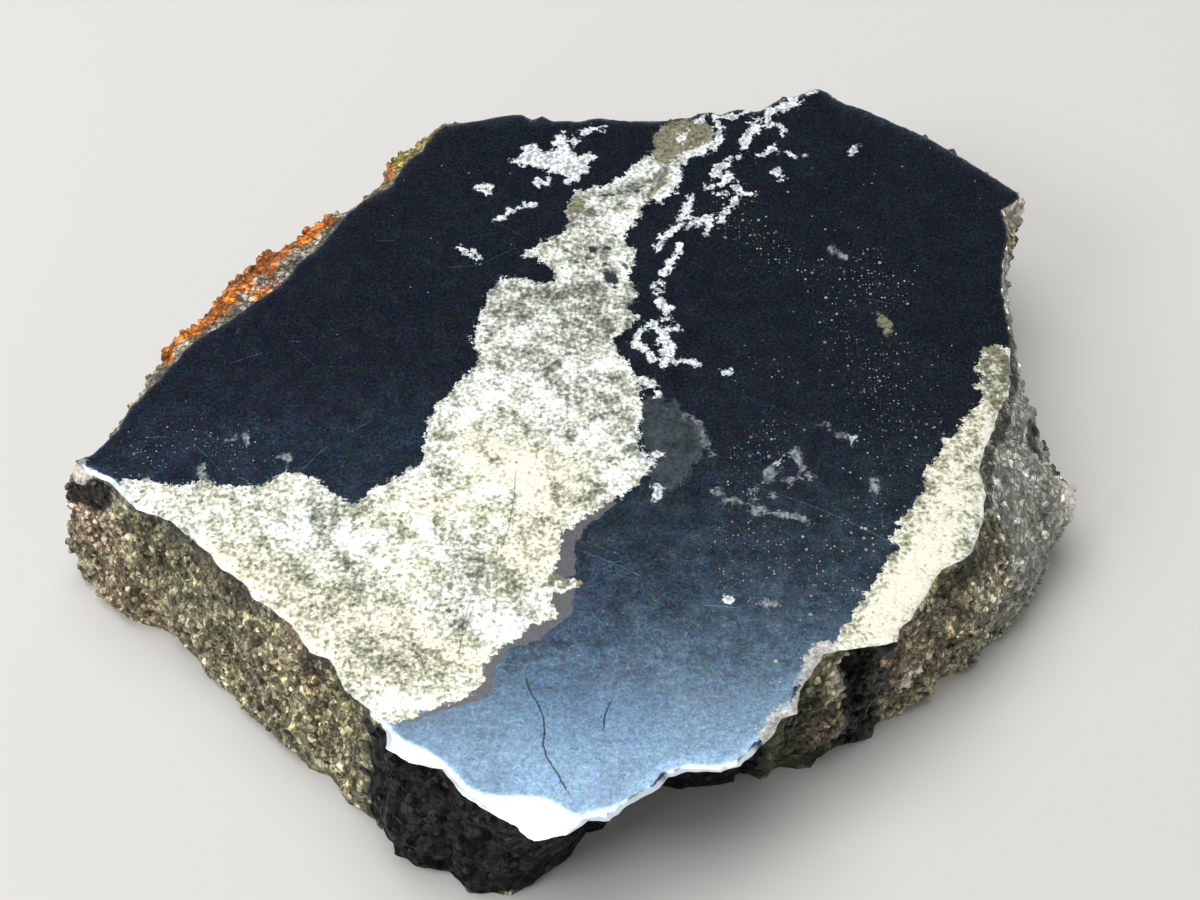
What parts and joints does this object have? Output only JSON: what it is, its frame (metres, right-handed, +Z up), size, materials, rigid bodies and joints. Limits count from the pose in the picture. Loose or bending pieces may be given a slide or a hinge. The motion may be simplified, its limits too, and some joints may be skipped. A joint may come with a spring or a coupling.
{
  "type": "covellite slab",
  "caption": "Flat sawn mineral slab of blue-black covellite with pyrite veins: polished top, rough broken sides with an undercut front, and a flat sawn underside to rest on.",
  "frame": {"origin": "centre of the bounding box, at the level of the flat sawn underside", "axes": "+Z up, out of the polished face; +X along the longer way across the face; -Y towards the front edge, where the side is undercut"},
  "size_m": [0.0756, 0.0677, 0.014],
  "materials": {
    "covellite": "polished top, rough broken sides"
  },
  "bodies": {
    "root": {"slab": "covellite"}
  },
  "joints": []
}
